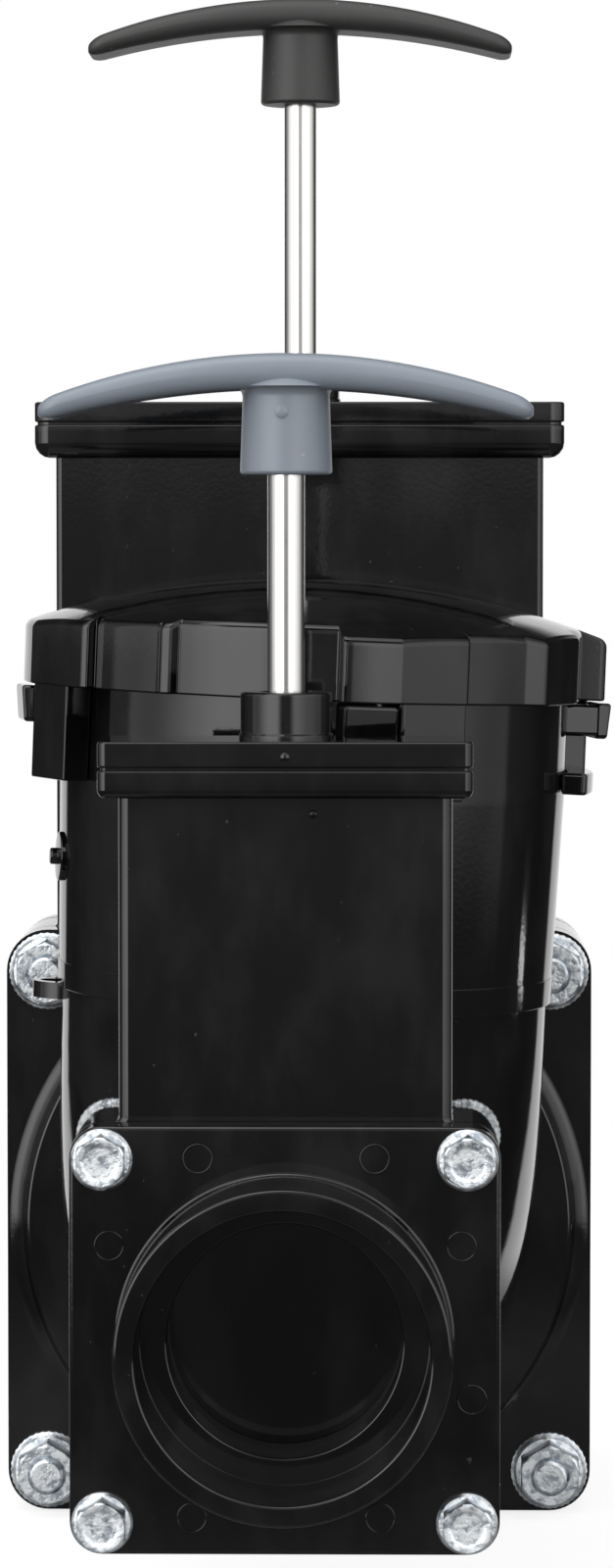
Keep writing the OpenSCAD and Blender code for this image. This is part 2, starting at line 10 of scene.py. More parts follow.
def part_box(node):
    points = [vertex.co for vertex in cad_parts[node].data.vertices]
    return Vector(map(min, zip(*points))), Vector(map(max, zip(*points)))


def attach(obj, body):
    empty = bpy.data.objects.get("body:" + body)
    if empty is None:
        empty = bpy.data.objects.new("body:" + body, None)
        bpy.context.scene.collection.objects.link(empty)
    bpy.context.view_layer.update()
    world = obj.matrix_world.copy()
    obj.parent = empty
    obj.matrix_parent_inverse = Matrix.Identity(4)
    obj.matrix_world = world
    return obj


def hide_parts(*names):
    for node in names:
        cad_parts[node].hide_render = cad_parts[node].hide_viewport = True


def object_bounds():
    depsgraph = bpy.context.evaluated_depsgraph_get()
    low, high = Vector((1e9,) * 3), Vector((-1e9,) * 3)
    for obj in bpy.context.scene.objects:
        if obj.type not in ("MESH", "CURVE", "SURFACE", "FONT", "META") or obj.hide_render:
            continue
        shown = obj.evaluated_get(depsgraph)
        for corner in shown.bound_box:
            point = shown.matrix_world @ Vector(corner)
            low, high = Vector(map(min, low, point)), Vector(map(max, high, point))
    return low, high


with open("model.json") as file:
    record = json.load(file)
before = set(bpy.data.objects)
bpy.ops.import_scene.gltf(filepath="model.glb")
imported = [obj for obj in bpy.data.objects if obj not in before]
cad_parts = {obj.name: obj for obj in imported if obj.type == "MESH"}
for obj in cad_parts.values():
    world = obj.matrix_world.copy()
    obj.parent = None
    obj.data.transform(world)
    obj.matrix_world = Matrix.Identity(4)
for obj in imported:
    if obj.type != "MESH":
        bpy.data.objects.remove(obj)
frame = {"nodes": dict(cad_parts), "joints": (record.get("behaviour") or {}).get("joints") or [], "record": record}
cad_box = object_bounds()

MM = 0.001
SHARP_ANGLE = math.radians(34)
EDGE_ANGLE = math.radians(28)
FLAT_ANGLE = math.radians(0.6)
WELD = 0.002 * MM
DOUBLES = 0.0005 * MM
LEAST_CORNER = 0.02 * MM
SAME_PLACE = 0.1 * MM
X, Y, Z = Vector((1, 0, 0)), Vector((0, 1, 0)), Vector((0, 0, 1))


# Node trees

MIX_FACTOR, MIX_FIRST, MIX_SECOND, MIX_RESULT = 0, 6, 7, 2


class Wire:
    """A number on its way through a node tree. Arithmetic on it adds Math nodes."""

    def __init__(self, recipe, socket):
        self.recipe = recipe
        self.socket = socket

    def math(self, operation, *values):
        """Adds one Math node on the values, in their order."""
        return self.recipe.node("ShaderNodeMath", {"operation": operation}, dict(enumerate(values)))

    def __add__(self, other):
        return self.math("ADD", self, other)

    def __radd__(self, other):
        return self.math("ADD", other, self)

    def __sub__(self, other):
        return self.math("SUBTRACT", self, other)

    def __rsub__(self, other):
        return self.math("SUBTRACT", other, self)

    def __mul__(self, other):
        return self.math("MULTIPLY", self, other)

    def __rmul__(self, other):
        return self.math("MULTIPLY", other, self)

    def between(self, low, high):
        """Rises smoothly from 0 at low to 1 at high."""
        return self.recipe.node("ShaderNodeMapRange", {"interpolation_type": "SMOOTHSTEP"},
                                {"Value": self, "From Min": low, "From Max": high})

    def band(self, rise, fall):
        """1 from the end of the rise to the start of the fall, 0 outside them."""
        return self.between(*rise) * (1 - self.between(*fall))


class Recipe:
    """One node tree: of a finish, of the room, or of a modifier."""

    def __init__(self, owner):
        self.owner = self.tree = owner
        if not isinstance(owner, bpy.types.NodeTree):
            owner.use_nodes = True
            self.tree = owner.node_tree
        self.tree.nodes.clear()

    def node(self, kind, settings=None, inputs=None, output=0):
        """Adds a node: its settings first, then its sockets' values and links."""
        made = self.tree.nodes.new(kind)
        for key, value in (settings or {}).items():
            setattr(made, key, value)
        for key, value in (inputs or {}).items():
            if isinstance(value, Wire):
                self.tree.links.new(value.socket, made.inputs[key])
            else:
                made.inputs[key].default_value = value
        return Wire(self, made.outputs[output]) if made.outputs else made

    def split(self, vector):
        """The three numbers of a vector."""
        parts = self.node("ShaderNodeSeparateXYZ", None, {0: vector}).socket.node
        return [Wire(self, socket) for socket in parts.outputs]

    def mix(self, factor, a, b):
        """Colour a where factor is 0 and colour b where it is 1."""
        return self.node("ShaderNodeMix", {"data_type": "RGBA"},
                         {MIX_FACTOR: factor, MIX_FIRST: a, MIX_SECOND: b}, MIX_RESULT)

    def place(self):
        """The point on the piece, in metres."""
        return self.node("ShaderNodeTexCoord", output="Object")

    def stretched(self, scale):
        """The point on the piece, with each axis multiplied."""
        return self.node("ShaderNodeVectorMath", {"operation": "MULTIPLY"}, {0: self.place(), 1: scale})

    def noise(self, scale, detail=3.0, roughness=0.5, at=None):
        """Soft spots, about as many to a metre as scale says."""
        return self.node("ShaderNodeTexNoise", None, {
            "Vector": at or self.place(), "Scale": scale, "Detail": detail, "Roughness": roughness})

    def bump(self, height, distance, strength):
        """A normal that is tilted by a height."""
        return self.node("ShaderNodeBump", None,
                         {"Height": height, "Distance": distance, "Strength": strength})

    def principled(self, inputs):
        """Ends a finish with its one shader, and returns the finish."""
        shader = self.node("ShaderNodeBsdfPrincipled", None, inputs)
        self.node("ShaderNodeOutputMaterial", None, {"Surface": shader})
        return self.owner


def finish(name):
    """The recipe of a new finish."""
    return Recipe(bpy.data.materials.new(name))


def rgb(red, green, blue):
    """A colour with full alpha."""
    return (red, green, blue, 1.0)


# Finishes

def glossy_black():
    """Moulded black plastic: deep gloss, faint flow marks and a few specks of dust."""
    recipe = finish("glossy_black")
    flow = recipe.noise(22.0, 4.0, 0.55, recipe.stretched((1.0, 1.0, 0.4)))
    cloud = recipe.noise(75.0, 4.0, 0.6, recipe.stretched((1.0, 1.0, 0.5))).between(0.4, 0.72)
    grain = recipe.noise(1100.0, 2.0)
    dust = recipe.noise(700.0, 2.0).between(0.755, 0.8)
    tone = recipe.mix(cloud, rgb(0.0026, 0.0026, 0.0028), rgb(0.0105, 0.0103, 0.0102))
    return recipe.principled({
        "Base Color": recipe.mix(dust * 0.25, tone, rgb(0.12, 0.12, 0.125)),
        "Roughness": 0.03 + flow * 0.05 + dust * 0.2,
        "Normal": recipe.bump(flow * 0.8 + grain * 0.08, 0.0005, 0.12),
    })


def satin(name, dark, light, rough):
    """Moulded satin plastic with a fine grain."""
    recipe = finish(name)
    cloud = recipe.noise(60.0, 4.0, 0.6)
    grain = recipe.noise(2600.0, 2.0)
    dust = recipe.noise(640.0, 2.0).between(0.73, 0.79)
    return recipe.principled({
        "Base Color": recipe.mix(dust * 0.3, recipe.mix(cloud, dark, light), rgb(0.5, 0.5, 0.52)),
        "Roughness": rough + cloud * 0.12 + grain * 0.06,
        "Normal": recipe.bump(grain + cloud * 0.5, 0.0001, 0.25),
    })


def polished_rod():
    """Drawn and polished steel, with lines along the rod."""
    recipe = finish("polished_rod")
    lines = recipe.noise(700.0, 3.0, 0.6, recipe.stretched((1.0, 1.0, 0.02)))
    smudge = recipe.noise(90.0, 4.0)
    return recipe.principled({
        "Base Color": recipe.mix(smudge, rgb(0.66, 0.65, 0.63), rgb(0.8, 0.79, 0.77)),
        "Metallic": 1.0,
        "Roughness": 0.1 + lines * 0.1 + smudge * 0.06,
        "Normal": recipe.bump(lines, 0.00005, 0.3),
    })


def bright_zinc():
    """Zinc plate: bluish, a little cloudy."""
    recipe = finish("bright_zinc")
    cloud = recipe.noise(520.0, 4.0, 0.65).between(0.36, 0.6)
    grain = recipe.noise(1500.0, 3.0)
    return recipe.principled({
        "Base Color": recipe.mix(cloud, rgb(0.5, 0.55, 0.61), rgb(0.9, 0.93, 0.95)),
        "Metallic": 1.0,
        "Roughness": 0.3 + cloud * 0.16,
        "Normal": recipe.bump(cloud * 0.4 + grain * 0.6, 0.00018, 0.6),
    })


def matt_rubber():
    """Rubber of the seals and the gasket."""
    recipe = finish("matt_rubber")
    cloud = recipe.noise(180.0, 4.0)
    return recipe.principled({
        "Base Color": recipe.mix(cloud, rgb(0.008, 0.008, 0.008), rgb(0.02, 0.02, 0.02)),
        "Roughness": 0.55 + cloud * 0.25,
        "Normal": recipe.bump(recipe.noise(1800.0), 0.0001, 0.3),
    })


FINISHES = {
    "black_plastic": glossy_black(),
    "dark_plastic": satin("satin_dark", rgb(0.026, 0.0255, 0.025), rgb(0.038, 0.037, 0.036), 0.4),
    "grey_plastic": satin("satin_grey", rgb(0.185, 0.21, 0.245), rgb(0.225, 0.255, 0.295), 0.26),
    "rod_steel": polished_rod(),
    "zinc": bright_zinc(),
    "rubber": matt_rubber(),
}


# Shapes

def rounded(corners, steps=5):
    """The closed line through corners (u, v, radius), each rounded to its radius."""
    line = []
    for i, (u, v, radius) in enumerate(corners):
        here = Vector((u, v))
        before = (Vector(corners[i - 1][:2]) - here).normalized()
        after = (Vector(corners[(i + 1) % len(corners)][:2]) - here).normalized()
        if radius <= 0:
            line.append(here)
            continue
        half = before.angle(after) / 2
        centre = here + (before + after).normalized() * (radius / math.sin(half))
        start = here + before * (radius / math.tan(half)) - centre
        end = here + after * (radius / math.tan(half)) - centre
        turn = start.angle_signed(end)
        for k in range(steps + 1):
            line.append(centre + Matrix.Rotation(-turn * k / steps, 2) @ start)
    return line


def rounded_path(corners, steps=5):
    """The open line through corners (u, v, radius), rounded at all but its two ends."""
    first, last = Vector(corners[0][:2]), Vector(corners[-1][:2])
    ends = [(first.x, first.y, 0)] + list(corners[1:-1]) + [(last.x, last.y, 0)]
    return rounded(ends, steps)


def rectangle(w, h, radius, inset=0.0, steps=6):
    """A rectangle about the origin with round corners, drawn in by inset."""
    a, b, r = w / 2 - inset, h / 2 - inset, max(radius - inset, LEAST_CORNER)
    return rounded([(a, -b, r), (a, b, r), (-a, b, r), (-a, -b, r)], steps)


def ring_of(radius, spokes):
    """Points round a circle."""
    return [Vector((radius * math.cos(t), radius * math.sin(t)))
            for t in (2 * math.pi * i / spokes for i in range(spokes))]


def edge_layers(near, far, near_edge, far_edge, steps=4):
    """Pairs (inset, depth) down the side of a slab with round edges."""
    way = 1 if far > near else -1
    layers = []
    for k in range(steps + 1):
        t = math.pi / 2 * k / steps
        layers.append((near_edge * (1 - math.sin(t)), near + way * near_edge * (1 - math.cos(t))))
    for k in range(steps + 1):
        t = math.pi / 2 * (1 - k / steps)
        layers.append((far_edge * (1 - math.sin(t)), far - way * far_edge * (1 - math.cos(t))))
    return layers


class Builder:
    """One mesh in the making. Outlines (u, v) lie across an axis, and depth runs along it."""

    def __init__(self, origin, axes=(X, Y, Z)):
        self.bm = bmesh.new()
        self.set_frame(origin, axes)

    def set_frame(self, origin, axes=(X, Y, Z)):
        """Sets where u, v and depth start and which way they run."""
        self.origin = Vector(origin)
        self.u, self.v, self.w = axes

    def at(self, u, v, w):
        """A point of the current frame, in the part's frame."""
        return self.origin + self.u * u + self.v * v + self.w * w

    def ring(self, outline, depth):
        """Points along an outline, all at one depth."""
        return [self.bm.verts.new(self.at(p[0], p[1], depth)) for p in outline]

    def point_ring(self, points):
        """Points (u, v, depth) that needn't lie at one depth."""
        return [self.bm.verts.new(self.at(*p)) for p in points]

    def join(self, a, b):
        """A band of faces between two rings."""
        n = len(a)
        for i in range(n):
            j = (i + 1) % n
            self.bm.faces.new((a[i], a[j], b[j], b[i]))

    def skin(self, rings):
        """Bands of faces from ring to ring. Returns the rings."""
        for a, b in zip(rings, rings[1:]):
            self.join(a, b)
        return rings

    def cap(self, ring, *holes):
        """Closes a ring, with holes left open."""
        if not holes:
            return self.bm.faces.new(ring)
        edges = []
        for loop in (ring, *holes):
            for i, vert in enumerate(loop):
                pair = (vert, loop[(i + 1) % len(loop)])
                edges.append(self.bm.edges.get(pair) or self.bm.edges.new(pair))
        bmesh.ops.triangle_fill(self.bm, use_beauty=True, use_dissolve=False, edges=edges)

    def lathe(self, profile, spokes):
        """Turns (radius, depth) points round the axis. Returns the rings."""
        return self.skin([self.ring(ring_of(r, spokes), d) for r, d in profile])

    def lathe_ring(self, profile, spokes):
        """Turns a closed (radius, depth) line round the axis."""
        rings = self.lathe(profile, spokes)
        self.join(rings[-1], rings[0])

    def slab(self, outline, near, far, near_edge, far_edge):
        """The side of a slab with round edges. outline(inset) gives its line. Returns the rings."""
        return self.skin([self.ring(outline(inset), depth)
                          for inset, depth in edge_layers(near, far, near_edge, far_edge)])

    def close(self, rings):
        """Closes the first and the last ring."""
        self.cap(rings[0])
        self.cap(rings[-1])

    def mesh(self, name):
        """The finished mesh, with its sharp edges marked."""
        bmesh.ops.remove_doubles(self.bm, verts=self.bm.verts, dist=DOUBLES)
        bmesh.ops.recalc_face_normals(self.bm, faces=self.bm.faces)
        mesh = bpy.data.meshes.new(name)
        self.bm.to_mesh(mesh)
        self.bm.free()
        mesh.shade_smooth()
        mesh.set_sharp_from_angle(angle=SHARP_ANGLE)
        return mesh


def even_normals(obj):
    """Keeps flat faces flat beside round edges."""
    modifier = obj.modifiers.new("even_normals", "WEIGHTED_NORMAL")
    modifier.weight = 100
    modifier.keep_sharp = True


def add_piece(name, builder, slot, body, *nodes):
    """Makes a piece that rides on a body and stands for CAD nodes."""
    obj = bpy.data.objects.new(name, builder.mesh(name))
    bpy.context.scene.collection.objects.link(obj)
    obj.data.materials.append(FINISHES[slot])
    even_normals(obj)
    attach(obj, body)
    if nodes:
        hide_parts(*nodes)


def edge_sizes(half_width, above, share):
    """Modifier nodes that mark sharp edges for rounding: a bonnet's upright ones in full, others by a share."""
    tree = bpy.data.node_groups.new("edge_sizes", "GeometryNodeTree")
    for way in ("INPUT", "OUTPUT"):
        tree.interface.new_socket("Geometry", in_out=way, socket_type="NodeSocketGeometry")
    recipe = Recipe(tree)
    start = recipe.split(recipe.node("GeometryNodeInputMeshEdgeVertices", output="Position 1"))
    end = recipe.split(recipe.node("GeometryNodeInputMeshEdgeVertices", output="Position 2"))

    def same(a, b):
        return a.math("COMPARE", a, b, SAME_PLACE)

    upright = same(start[0], end[0]) * same(start[1], end[1])
    at_side = same(start[0].math("ABSOLUTE", start[0]), half_width)
    raised = start[2].math("GREATER_THAN", start[2].math("MINIMUM", start[2], end[2]), above)
    angle = recipe.node("GeometryNodeInputMeshEdgeAngle", output="Unsigned Angle")
    sharp = angle.math("GREATER_THAN", angle, EDGE_ANGLE)
    marked = recipe.node("GeometryNodeStoreNamedAttribute", {"data_type": "FLOAT", "domain": "EDGE"}, {
        "Geometry": recipe.node("NodeGroupInput"), "Name": "bevel_weight_edge",
        "Value": sharp * (share + (1 - share) * (upright * at_side * raised))})
    recipe.node("NodeGroupOutput", None, {0: marked})
    return tree


def dress(node, edge=0.0, upright=None):
    """Keeps a CAD node, with its finish and, where asked, with round edges. upright gives where the upright
    edges stand that are rounded more, and how much."""
    obj = frame["nodes"][node]
    slot = next(s["material_slot"] for s in frame["record"]["subparts"] if s["node"] == node)
    obj.data.materials.clear()
    obj.data.materials.append(FINISHES[slot])
    if not edge:
        return
    weld = obj.modifiers.new("weld", "WELD")
    weld.merge_threshold = WELD
    flat = obj.modifiers.new("one_face_per_plane", "DECIMATE")
    flat.decimate_type = "DISSOLVE"
    flat.angle_limit = FLAT_ANGLE
    if upright:
        half_width, above, full = upright
        sizes = obj.modifiers.new("edge_sizes", "NODES")
        sizes.node_group = edge_sizes(half_width, above, edge / full)
    bevel = obj.modifiers.new("round_edges", "BEVEL")
    bevel.limit_method = "WEIGHT" if upright else "ANGLE"
    bevel.angle_limit = EDGE_ANGLE
    bevel.width = full if upright else edge
    bevel.use_clamp_overlap = not upright
    bevel.segments = 5 if upright else 3
    bevel.miter_outer = "MITER_ARC"
    even_normals(obj)


# Sizes read from the frame

def middle(node):
    """The middle of a node's box."""
    low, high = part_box(node)
    return (low + high) / 2


class Valve:
    """Sizes and places of one gate valve. Outward is the side of its pipe socket."""

    def __init__(self, side):
        self.side = side
        self.out = -1 if side == "front" else 1
        body_low, body_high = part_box(f"{side}_valve_body")
        flange_low, flange_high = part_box(f"{side}_hub_flange")
        lid_low, lid_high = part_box(f"{side}_bonnet_cap")
        rod_low, rod_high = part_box(f"{side}_rod")
        self.y = middle(f"{side}_valve_body").y
        self.body_t = body_high.y - body_low.y
        self.plate_w = flange_high.x - flange_low.x
        self.hub_end = flange_low.y if self.out < 0 else flange_high.y
        self.plate_back = self.y + self.out * self.body_t / 2
        self.lid_w = lid_high.x - lid_low.x
        self.lid_t = lid_high.y - lid_low.y
        self.lid_bottom = lid_low.z
        self.lid_top = lid_high.z
        self.bonnet_top = body_high.z
        self.rod_r = (rod_high.x - rod_low.x) / 2
        self.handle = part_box(f"{side}_handle")
        self.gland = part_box(f"{side}_gland")
        self.bolt = [middle(f"{side}_bolt_{i}") for i in (1, 2, 3, 4)]
        self.nut = [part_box(f"{side}_nut_{i}") for i in (1, 2, 3, 4)]


FRONT, REAR = Valve("front"), Valve("rear")
FRONT.plate_t, REAR.plate_t = 7 * MM, 8 * MM
FRONT.bore_r, REAR.bore_r = 19.7 * MM, 38 * MM
FRONT.socket_r, REAR.socket_r = 24.25 * MM, 44.55 * MM
FRONT.hub_r, REAR.hub_r = 27.85 * MM, 49.55 * MM
FRONT.corner_r, REAR.corner_r = 5.5 * MM, 8 * MM
FRONT.lid_r, REAR.lid_r = 1.4 * MM, 3 * MM
FRONT.lid_lower_h, REAR.lid_lower_h = 4.9 * MM, 6.7 * MM
FRONT.bonnet_w, REAR.bonnet_w = 56 * MM, 95.4 * MM
FRONT.body_edge, REAR.body_edge = 0.6 * MM, 0.7 * MM
FRONT.upright_edge, REAR.upright_edge = 1.6 * MM, 1.1 * MM
FRONT.bolt_r, REAR.bolt_r = 2.4 * MM, 3.175 * MM
FRONT.ejector_r, REAR.ejector_r = 2.4 * MM, 2.8 * MM
FRONT.ejectors = [(-14.5, 30.6), (15, 30.6), (-29.3, 16), (29.5, 16),
                  (31.3, -9.7), (-15.5, -29.7), (16, -29.7)]
REAR.ejectors = [(sx * x, sz * z) for sx, sz in ((-1, 1), (1, 1), (1, -1), (-1, -1))
                 for x, z in ((22, 52), (52, 22))]
VALVES = (FRONT, REAR)


# Plates with hubs

HUB_FOOT = 0.6 * MM
HUB_EDGE, MOUTH_EDGE, SEAT_EDGE, BORE_EDGE = 0.6 * MM, 0.5 * MM, 0.1 * MM, 0.4 * MM
PLATE_EDGE = 0.7 * MM
EJECTOR_LINE = 0.14 * MM
EJECTOR_SINK = 0.2 * MM


def ejector_mark(build, u, v, face, radius):
    """A thin raised ring that an ejector pin leaves in a moulding."""
    line = []
    for k in range(9):
        t = math.pi * k / 8
        line.append((radius + EJECTOR_LINE * math.cos(t), face + EJECTOR_LINE * math.sin(t)))
    line += [(radius - EJECTOR_LINE, face - EJECTOR_SINK), (radius + EJECTOR_LINE, face - EJECTOR_SINK)]
    home = build.origin.copy()
    build.origin = build.at(u, v, 0)
    build.lathe_ring(line, 40)
    build.origin = home


def hub_plate(valve):
    """The outer plate with the pipe socket."""
    out = valve.out
    build = Builder((0, valve.plate_back, 0), (-out * X, Z, out * Y))
    face = valve.plate_t
    end = abs(valve.hub_end - valve.plate_back)
    foot_r = valve.hub_r + HUB_FOOT

    def outline(inset):
        return rectangle(valve.plate_w, valve.plate_w, valve.corner_r, inset, 10)

    sides = build.slab(outline, 0, face, PLATE_EDGE, PLATE_EDGE)
    profile = rounded_path([
        (foot_r, face, 0), (valve.hub_r, face, HUB_FOOT), (valve.hub_r, end, HUB_EDGE),
        (valve.socket_r, end, MOUTH_EDGE), (valve.socket_r, face, SEAT_EDGE),
        (valve.bore_r, face, BORE_EDGE), (valve.bore_r, 0, 0),
    ])
    rings = build.lathe(profile, 128)
    build.cap(sides[-1], rings[0])
    build.cap(sides[0], rings[-1])
    for x, z in valve.ejectors:
        ejector_mark(build, x * MM, z * MM, face, valve.ejector_r)
    add_piece(f"{valve.side}_hub_plate", build, "black_plastic", "valve", f"{valve.side}_hub_flange")


# Bonnet lids and glands

GROOVE = 0.55 * MM
GROOVE_DRAFT = 0.05 * MM
TIER_EDGE, LID_TOP_EDGE = 0.35 * MM, 0.45 * MM
LID_CORNER = 1.5 * MM
LID_PLAY, ROD_PLAY = 0.05 * MM, 0.4 * MM
SEAT_CORNER = 0.3 * MM
LID_DOT_DROP = 2.6 * MM
DOT_R = 0.8 * MM
DOT_SINK = 0.2 * MM
GLAND_STEP, GLAND_PLAY = 0.25 * MM, 0.06 * MM
BONNET_DOT_X, BONNET_DOT_Z, BONNET_DOT_R = 4.7 * MM, 87.7 * MM, 0.7 * MM


def bonnet_lid(valve):
    """The two-tier lid on a bonnet, open below for the bonnet and bored for the rod."""
    build = Builder((0, valve.y, 0))
    low, top = valve.lid_bottom, valve.lid_top
    split = low + valve.lid_lower_h
    layers = edge_layers(low, split - GROOVE / 2, valve.lid_r, TIER_EDGE)
    layers += [(GROOVE, split - GROOVE / 2 + GROOVE_DRAFT), (GROOVE, split + GROOVE / 2 - GROOVE_DRAFT)]
    layers += edge_layers(split + GROOVE / 2, top, TIER_EDGE, LID_TOP_EDGE)

    def outline(inset):
        return rectangle(valve.lid_w, valve.lid_t, max(LID_CORNER, valve.lid_r + 0.1 * MM), inset)

    rings = build.skin([build.ring(outline(inset), z) for inset, z in layers])
    seat = rectangle(valve.bonnet_w + 2 * LID_PLAY, valve.body_t + 2 * LID_PLAY, SEAT_CORNER)
    roof_z = valve.bonnet_top + LID_PLAY
    seat_rings = build.skin([build.ring(seat, low), build.ring(seat, roof_z)])
    rod_hole = ring_of(valve.rod_r + ROD_PLAY, 40)
    hole_rings = build.skin([build.ring(rod_hole, roof_z), build.ring(rod_hole, top)])
    build.cap(rings[0], seat_rings[0])
    build.cap(seat_rings[1], hole_rings[0])
    build.cap(rings[-1], hole_rings[1])
    dot(build, 0, -valve.lid_t / 2, top - LID_DOT_DROP)
    add_piece(f"{valve.side}_bonnet_lid", build, "black_plastic", "valve", f"{valve.side}_bonnet_cap")


def dot(build, u, v, w, radius=DOT_R):
    """A small round gate mark on a face that looks towards -v."""
    home, axes = build.origin.copy(), (build.u, build.v, build.w)
    build.set_frame(build.at(u, v, w), (build.u, build.w, -build.v))
    profile = [(radius, -DOT_SINK), (radius, 0.1 * MM), (radius * 0.7, 0.3 * MM), (radius * 0.2, 0.36 * MM)]
    build.close(build.lathe(profile, 24))
    build.set_frame(home, axes)


def bonnet_dot():
    """The gate mark on the small valve's bonnet."""
    build = Builder((0, FRONT.y, 0))
    dot(build, BONNET_DOT_X, -FRONT.body_t / 2, BONNET_DOT_Z, BONNET_DOT_R)
    add_piece("bonnet_gate_mark", build, "black_plastic", "valve")


def gland_collar(valve):
    """The stepped collar round a rod."""
    low, high = valve.gland
    build = Builder((0, valve.y, low.z))
    r, h = (high.x - low.x) / 2, high.z - low.z
    neck, bore = r - GLAND_STEP, valve.rod_r + GLAND_PLAY
    profile = rounded([
        (bore, 0, 0), (r, 0, 0), (r, 0.7 * MM, 0.3 * MM), (neck, 1.1 * MM, 0.3 * MM),
        (neck, h, 0.6 * MM), (bore + 1.2 * MM, h, 0.3 * MM), (bore, h - 0.9 * MM, 0),
    ], 4)
    build.lathe_ring(profile, 72)
    add_piece(f"{valve.side}_gland_collar", build, "black_plastic", "valve", f"{valve.side}_gland")


# Handles

BAR_DROP = 8 * MM
BAR_MIDDLE_T = 5.9 * MM
BAR_END_T = 3.5 * MM
BAR_EDGE = 2.6 * MM
BAR_TIP, BAR_TIP_IN = 3 * MM, 5 * MM
BAR_STATIONS = 61
HANDLE_FOOT_R = 7.8 * MM
HANDLE_NECK_R = 7.3 * MM
HANDLE_PLAY = 0.05 * MM
HANDLE_DOT_R, HANDLE_DOT_DROP = 1.1 * MM, 4 * MM
ROD_SINK = 8 * MM


def handle_section(depth, thick):
    """The bar's section, with edges as round as it allows."""
    return rectangle(depth, thick, min(BAR_EDGE, thick * 0.48, depth * 0.48))


def pull_handle(valve, slot, body):
    """A curved T-bar with soft edges on a tapered hub."""
    low, high = valve.handle
    span, depth = high.x - low.x, high.y - low.y
    half, top = span / 2, high.z
    under = top - BAR_MIDDLE_T
    top_r = (half ** 2 + BAR_DROP ** 2) / (2 * BAR_DROP)
    rise = BAR_DROP + BAR_END_T - BAR_MIDDLE_T
    under_r = (half ** 2 + rise ** 2) / (2 * rise)
    build = Builder((0, valve.y, 0), (Y, Z, X))
    rings = []
    for i in range(BAR_STATIONS):
        t = -math.cos(math.pi * i / (BAR_STATIONS - 1))
        x = half * math.copysign(1 - (1 - abs(t)) ** 1.15, t)
        upper = top - top_r + math.sqrt(top_r ** 2 - x ** 2)
        lower = under - under_r + math.sqrt(under_r ** 2 - x ** 2)
        end = max(0.0, (abs(x) - (half - BAR_TIP)) / BAR_TIP)
        close = math.sqrt(max(0.0, 1 - end ** 2))
        thick = (upper - lower) * (0.25 + 0.75 * close)
        wide = depth - BAR_TIP_IN * (1 - close)
        middle_z = (upper + lower) / 2
        section = handle_section(wide, thick)
        rings.append(build.point_ring([(p[0], middle_z + p[1], x) for p in section]))
    build.close(build.skin(rings))
    build.set_frame((0, valve.y, low.z))
    hub_h = under - low.z
    bore = valve.rod_r + HANDLE_PLAY
    profile = rounded_path([
        (bore, ROD_SINK, 0), (bore, 0, 0.2 * MM), (HANDLE_FOOT_R, 0, 0.7 * MM),
        (HANDLE_NECK_R, hub_h, 1.6 * MM), (HANDLE_NECK_R + 2 * MM, hub_h + 0.4 * MM, 0),
    ])
    build.close(build.lathe(profile + [(HANDLE_NECK_R, hub_h + 2 * MM)], 72))
    if valve is FRONT:
        build.set_frame((0, valve.y, 0))
        dot(build, -0.6 * MM, -HANDLE_NECK_R - 0.1 * MM, low.z + hub_h - HANDLE_DOT_DROP, HANDLE_DOT_R)
    add_piece(f"{valve.side}_pull_handle", build, slot, body, f"{valve.side}_handle")


# Bolts and nuts

HEX_SPOKES = 72
UNCUT = 9
SCREW_FLATS, NUT_FLATS = 3.32, 3.5
THREAD_PITCH = 0.9 * MM
NUT_PLAY = 0.05 * MM
TEETH, TOOTH = 36, 0.022


def hexagon(width, limit, spokes=HEX_SPOKES):
    """A hexagon by its width across flats, cut to a circle of radius limit."""
    line = []
    for i in range(spokes):
        t = 2 * math.pi * i / spokes
        off = (t + math.pi / 6) % (math.pi / 3) - math.pi / 6
        line.append(Vector((math.cos(t), math.sin(t))) * min(width / 2 / math.cos(off), limit))
    return line


def threads(radius, start, end, pitch=THREAD_PITCH):
    """(radius, depth) points along a threaded end."""
    line = []
    crests = int((end - start) / pitch)
    for k in range(crests):
        d = start + k * pitch
        line += [(radius, d), (radius, d + 0.25 * pitch), (radius * 0.9, d + 0.6 * pitch)]
    return line + [(radius, end - 0.4 * MM), (radius * 0.86, end)]


